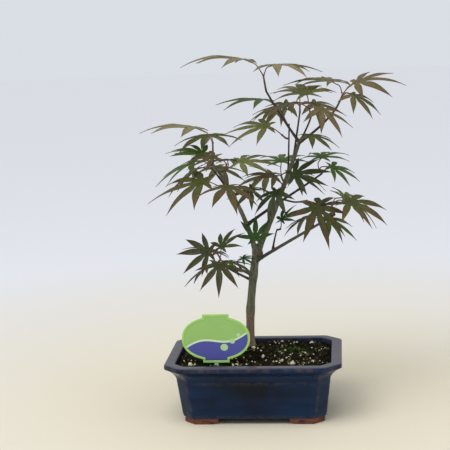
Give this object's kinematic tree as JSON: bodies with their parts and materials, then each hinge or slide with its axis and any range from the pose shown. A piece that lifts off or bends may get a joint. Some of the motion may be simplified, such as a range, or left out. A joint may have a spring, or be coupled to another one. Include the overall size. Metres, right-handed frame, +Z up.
{
  "type": "potted maple bonsai",
  "caption": "Young maple grown as a bonsai, with a forked crown of lobed green and bronze leaves, in a blue glazed cut-corner pot with dark soil and a plant label.",
  "frame": {"origin": "middle of the whole plant's footprint, on the plane of the pot's feet", "axes": "+Z up along the trunk, +X to the right along the pot's long side, -Y towards the front, where the plant label stands"},
  "size_m": [0.2336, 0.1906, 0.3188],
  "materials": {
    "cobalt_glaze": "glossy cobalt blue glaze, unglazed brown feet",
    "dark_soil": "rough moist potting mix with white grains",
    "brown_bark": "matt grey-green and brown bark",
    "red_brown_twig": "satin red-brown bark",
    "green_leaf": "satin green leaf",
    "bronze_leaf": "satin bronze leaf",
    "lime_plastic": "printed lime and blue plastic",
    "clear_plastic": "clear plastic"
  },
  "bodies": {
    "root": {"back_bough": "brown_bark", "back_left_bough": "brown_bark", "back_low_bough": "brown_bark", "foliage_back": "green_leaf", "foliage_back_left": "green_leaf", "foliage_back_low": "green_leaf", "foliage_back_right": "green_leaf", "foliage_back_top": "bronze_leaf", "foliage_centre": "green_leaf", "foliage_centre_right": "green_leaf", "foliage_far_left": "bronze_leaf", "foliage_fork": "green_leaf", "foliage_inner_left": "bronze_leaf", "foliage_left": "bronze_leaf", "foliage_left_crown": "bronze_leaf", "foliage_left_front": "green_leaf", "foliage_left_low": "bronze_leaf", "foliage_lower_left": "green_leaf", "foliage_red_shoot": "bronze_leaf", "foliage_right": "green_leaf", "foliage_right_front": "green_leaf", "foliage_right_upper": "green_leaf", "foliage_small_shoot": "green_leaf", "foliage_top_fork": "bronze_leaf", "foliage_top_left": "bronze_leaf", "foliage_top_middle": "bronze_leaf", "foliage_top_right": "bronze_leaf", "foliage_trunk_left": "green_leaf", "label_plate": "lime_plastic", "label_stake": "clear_plastic", "leader": "brown_bark", "left_stem": "brown_bark", "lower_left_bough": "brown_bark", "lower_right_bough": "brown_bark", "pot": "cobalt_glaze", "red_shoot": "red_brown_twig", "small_shoot": "red_brown_twig", "soil": "dark_soil", "top_back_stem": "red_brown_twig", "top_left_stem": "red_brown_twig", "top_middle_stem": "red_brown_twig", "top_right_stem": "brown_bark", "trunk": "brown_bark", "upper_right_bough": "brown_bark"}
  },
  "joints": []
}
